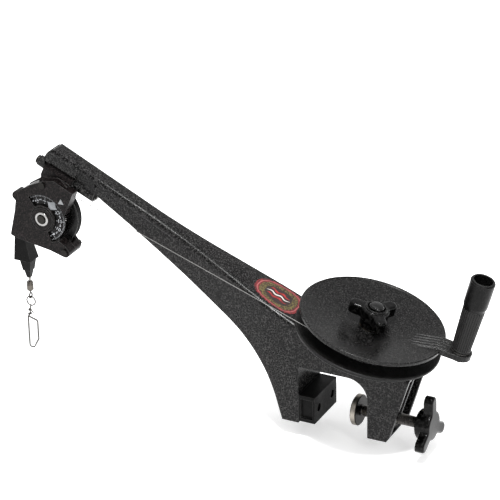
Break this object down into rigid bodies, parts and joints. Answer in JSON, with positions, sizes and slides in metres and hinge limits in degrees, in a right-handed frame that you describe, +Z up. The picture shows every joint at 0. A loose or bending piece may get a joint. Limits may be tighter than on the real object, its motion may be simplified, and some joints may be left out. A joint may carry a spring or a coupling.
{
  "type": "manual downrigger",
  "caption": "Rail-clamp manual downrigger with a long boom, a cranked cable reel with clutch knob, and a swivelling pulley head with a geared depth dial and snap.",
  "frame": {"origin": "centre of the throat's ceiling, the face that rests on the rail", "axes": "+X from the boom towards the clamp knob, +Z up, +Y away from the side that shows the dial"},
  "size_m": [0.5716, 0.161, 0.2674],
  "materials": {
    "moulding": "fine textured satin black",
    "reel_moulding": "fine textured satin black",
    "knob_moulding": "semi-gloss black",
    "knob_cap": "glossy dark grey",
    "grip_rubber": "matte black",
    "head_moulding": "satin brown-black",
    "dial_print": "black with white print",
    "gear_plastic": "natural white",
    "stainless": "stainless steel",
    "bright_ring": "polished",
    "brass": "turned",
    "brake_lining": "pressed fibre",
    "cable_steel": "stranded stainless",
    "bumper_rubber": "moulded rubber"
  },
  "bodies": {
    "frame": {"frame": "moulding", "jaw_block": "moulding", "jaw_screws": "stainless", "clamp_insert": "brass", "reel_shaft": "stainless", "shaft_nut": "stainless", "brake_disc": "brake_lining", "swivel_pin": "stainless", "pin_ring": "stainless", "cable_run": "cable_steel"},
    "clamp_pad": {"clamp_disc": "stainless", "clamp_clip": "stainless"},
    "clamp_screw": {"clamp_screw": "stainless", "clamp_knob": "knob_moulding", "clamp_knob_pin": "stainless"},
    "reel": {"spool": "reel_moulding", "crank_flange": "reel_moulding", "flange_screws": "stainless", "hub_bush": "brass", "cable_core": "cable_steel", "cable_winding": "cable_steel", "grip_bolt": "stainless", "grip_washer": "stainless", "grip_nut": "stainless"},
    "grip": {"grip": "grip_rubber"},
    "clutch_washer": {"thrust_washer": "stainless"},
    "clutch_knob": {"clutch_knob": "knob_moulding", "clutch_insert": "brass", "clutch_cap": "knob_cap"},
    "head": {"front_housing": "head_moulding", "rear_plate": "head_moulding", "case_bolts": "stainless", "case_nuts": "stainless", "axle": "stainless", "axle_nut": "stainless", "axle_ring": "bright_ring", "fixed_gear": "gear_plastic", "cable_head": "cable_steel", "bumper_skirt": "bumper_rubber", "bumper_body": "bumper_rubber", "bumper_tip": "bumper_rubber", "crimp_sleeve": "stainless", "swivel_stem": "stainless"},
    "wheel": {"pulley_wheel": "head_moulding", "pinion_pin": "stainless"},
    "pinion": {"pinion": "gear_plastic"},
    "dial": {"dial": "dial_print"},
    "swivel": {"swivel_barrel": "stainless", "swivel_eye": "stainless"},
    "snap": {"safety_snap": "stainless"}
  },
  "joints": [
    {"name": "clamp_travel", "type": "slide", "parent": "frame", "child": "clamp_pad", "axis": [1, 0, 0], "range_m": [-0.018, 0.018]},
    {"name": "clamp_turn", "type": "hinge", "parent": "clamp_pad", "child": "clamp_screw", "pos_m": [0, 0, -0.052], "axis": [1, 0, 0], "range_deg": [-2592.5, 2592.5]},
    {"name": "reel_spin", "type": "hinge", "parent": "frame", "child": "reel", "pos_m": [0.0351, 0, 0.0613], "axis": [0.2662, 0, 0.9639], "continuous": true},
    {"name": "grip_spin", "type": "hinge", "parent": "reel", "child": "grip", "pos_m": [0.12813, 0.01702, 0.03561], "axis": [0.2662, 0, 0.9639], "continuous": true},
    {"name": "clutch_lift", "type": "slide", "parent": "frame", "child": "clutch_washer", "axis": [0.2662, 0, 0.9639], "range_m": [0, 0.0015]},
    {"name": "clutch_turn", "type": "hinge", "parent": "clutch_washer", "child": "clutch_knob", "pos_m": [0.0351, 0, 0.0613], "axis": [0.2662, 0, 0.9639], "range_deg": [-0.5, 360.5]},
    {"name": "head_swing", "type": "hinge", "parent": "frame", "child": "head", "pos_m": [-0.34175, 0, 0.16186], "axis": [0.9097, 0, -0.4153], "range_deg": [-45, 45]},
    {"name": "pulley_spin", "type": "hinge", "parent": "head", "child": "wheel", "pos_m": [-0.3595, 0, 0.1125], "axis": [0, 1, 0], "continuous": true},
    {"name": "pinion_spin", "type": "hinge", "parent": "wheel", "child": "pinion", "pos_m": [-0.3379, 0, 0.1125], "axis": [0, 1, 0], "continuous": true},
    {"name": "dial_spin", "type": "hinge", "parent": "head", "child": "dial", "pos_m": [-0.3595, 0, 0.1125], "axis": [0, 1, 0], "continuous": true},
    {"name": "swivel_spin", "type": "hinge", "parent": "head", "child": "swivel", "pos_m": [-0.39345, 0, 0.0147], "axis": [0, 0, 1], "continuous": true},
    {"name": "snap_swing", "type": "hinge", "parent": "swivel", "child": "snap", "pos_m": [-0.39345, 0, -0.0007], "axis": [0, 1, 0], "range_deg": [-60, 60]}
  ],
  "couplings": [
    {"joint": "clamp_turn", "follows": "clamp_travel", "rad_per_m": 2513.3},
    {"joint": "clutch_turn", "follows": "clutch_lift", "rad_per_m": 4188.8},
    {"joint": "pinion_spin", "follows": "pulley_spin", "ratio": 5},
    {"joint": "dial_spin", "follows": "pulley_spin", "ratio": 0.016393}
  ]
}
